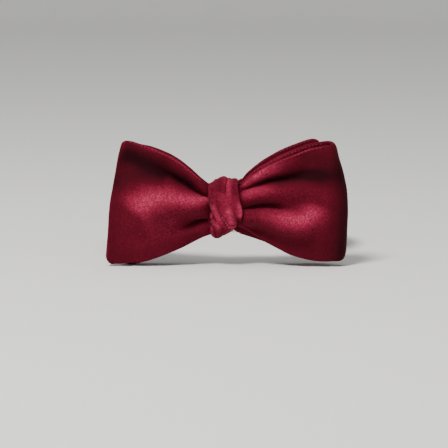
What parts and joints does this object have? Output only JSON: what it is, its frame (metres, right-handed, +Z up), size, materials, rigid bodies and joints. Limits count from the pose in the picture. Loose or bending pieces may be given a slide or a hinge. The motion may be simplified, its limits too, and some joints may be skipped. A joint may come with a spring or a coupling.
{
  "type": "bow tie",
  "caption": "Self-tied velvet butterfly bow tie with a wrapped knot, folded loops, flat ends and a hooked, adjustable neck band.",
  "frame": {"origin": "centre of the flat rear face of the neck band where it crosses behind the knot, the face that bears on the collar", "axes": "+X to the viewer's right along the bow, +Y from the bow towards the neck, +Z up"},
  "size_m": [0.1267, 0.1423, 0.066],
  "materials": {
    "velvet": "short-pile burgundy velvet",
    "lining": "woven wool interlining, raw edges",
    "ribbon": "ribbed dark ribbon",
    "thread": "twisted sewing thread",
    "metal": "nickel-plated, lightly polished"
  },
  "bodies": {
    "bow": {"blade_a_front_shell": "velvet", "blade_a_interlining": "lining", "blade_a_back_shell": "velvet", "blade_b_front_shell": "velvet", "blade_b_interlining": "lining", "blade_b_back_shell": "velvet", "knot_wrap_front_shell": "velvet", "knot_wrap_interlining": "lining", "knot_wrap_back_shell": "velvet", "right_band_outer_shell": "velvet", "right_band_interlining": "lining", "right_band_inner_shell": "velvet", "left_band_outer_shell": "velvet", "left_band_interlining": "lining", "left_band_inner_shell": "velvet", "eye_loop": "ribbon", "tack_eye_loop": "thread"},
    "left_band_end": {"left_band_tab_outer_shell": "velvet", "left_band_tab_inner_shell": "velvet", "strap_main_run": "ribbon", "strap_return_leg": "ribbon", "tack_strap_to_band": "thread", "tack_return_leg": "thread"},
    "slide": {"slide": "metal"},
    "hook": {"hook": "metal"},
    "eye": {"eye": "metal"}
  },
  "joints": [
    {"name": "left_band_bend", "type": "hinge", "parent": "bow", "child": "left_band_end", "pos_m": [-0.0636, 0.05949, -0.01033], "axis": [0, 0.1711, 0.9853], "range_deg": [0, 90], "stiffness_Nm_per_rad": 0.01},
    {"name": "slide_travel", "type": "hinge", "parent": "left_band_end", "child": "slide", "pos_m": [0, 0.05937, -0.01031], "axis": [0, 0.1711, 0.9853], "range_deg": [-18, 18], "deforming": ["strap_return_leg", "tack_return_leg"]},
    {"name": "hook_swivel", "type": "hinge", "parent": "left_band_end", "child": "hook", "pos_m": [-0.0131, 0.11791, -0.02048], "axis": [0, 0.1711, 0.9853], "range_deg": [0, 90]},
    {"name": "eye_swivel", "type": "hinge", "parent": "bow", "child": "eye", "pos_m": [0.00706, 0.11694, -0.02031], "axis": [0, 0.1711, 0.9853], "range_deg": [0, 80]}
  ]
}
